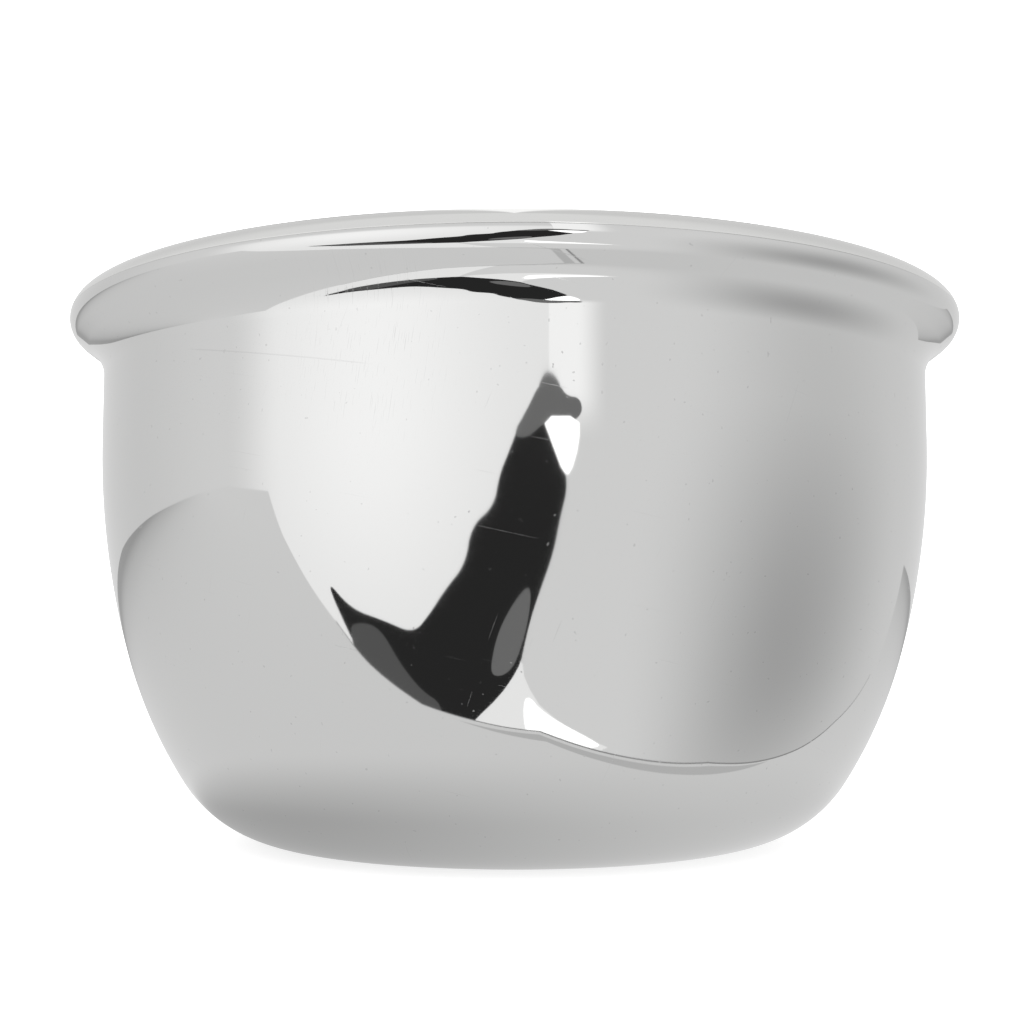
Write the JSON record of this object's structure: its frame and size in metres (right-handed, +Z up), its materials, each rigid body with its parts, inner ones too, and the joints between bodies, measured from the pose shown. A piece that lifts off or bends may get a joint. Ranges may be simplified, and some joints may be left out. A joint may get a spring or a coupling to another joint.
{
  "type": "shaving bowl",
  "caption": "Round double-walled shaving bowl in mirror-polished steel, with a rolled and flared rim, rounded bottom corner and flat standing base, no handle.",
  "frame": {"origin": "middle of the base, on the surface that the bowl stands on", "axes": "+Z up along the axis of revolution; X and Y are level and interchangeable"},
  "size_m": [0.1, 0.1, 0.059],
  "materials": {
    "polished_steel": "mirror polished, with a few hairline scratches",
    "inner_steel": "polished lip and a fine satin inside with circular polishing marks",
    "base_steel": "satin, circular brushing",
    "wire_steel": "drawn wire, hidden inside the rim"
  },
  "bodies": {
    "root": {"inner_bowl": "inner_steel", "outer_shell": "polished_steel", "rim_wire": "wire_steel", "base_plate": "base_steel"}
  },
  "joints": []
}
